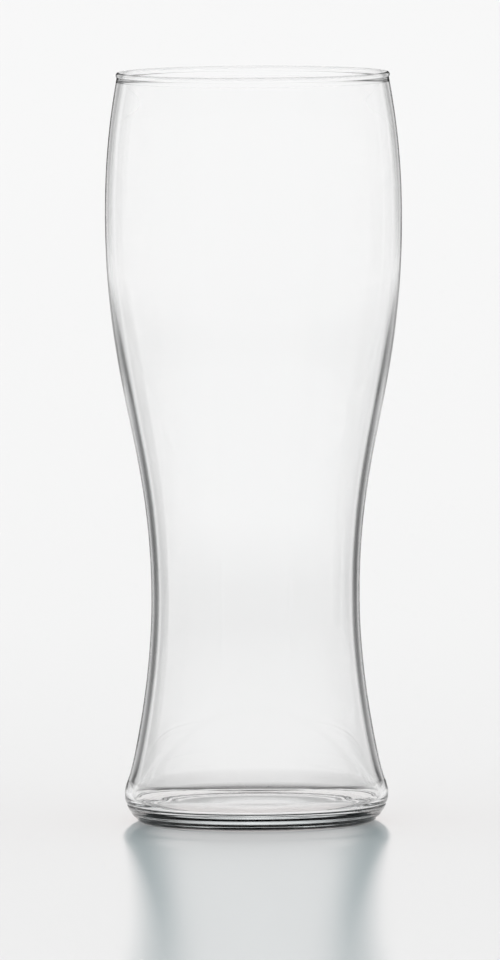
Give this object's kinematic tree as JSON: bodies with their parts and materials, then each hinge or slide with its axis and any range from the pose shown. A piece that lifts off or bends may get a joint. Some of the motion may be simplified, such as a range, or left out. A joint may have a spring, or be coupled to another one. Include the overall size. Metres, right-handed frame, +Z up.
{
  "type": "beer glass",
  "caption": "Tall empty wheat-beer glass in clear thin blown glass, with a full bowl, narrow waist, flared heel, heavy rounded foot and a fire-polished rim bead.",
  "frame": {"origin": "centre of the flat ring that the glass stands on, level with the table", "axes": "+Z up along the axis of the glass towards its mouth; +X and +Y are alike, because the glass is round"},
  "size_m": [0.079, 0.079, 0.2],
  "materials": {
    "clear_glass": "clear, colourless and polished, with a faint cool tint in the thick foot"
  },
  "bodies": {
    "root": {"foot": "clear_glass", "skirt": "clear_glass", "bowl": "clear_glass", "lip": "clear_glass", "rim_bead": "clear_glass"}
  },
  "joints": []
}
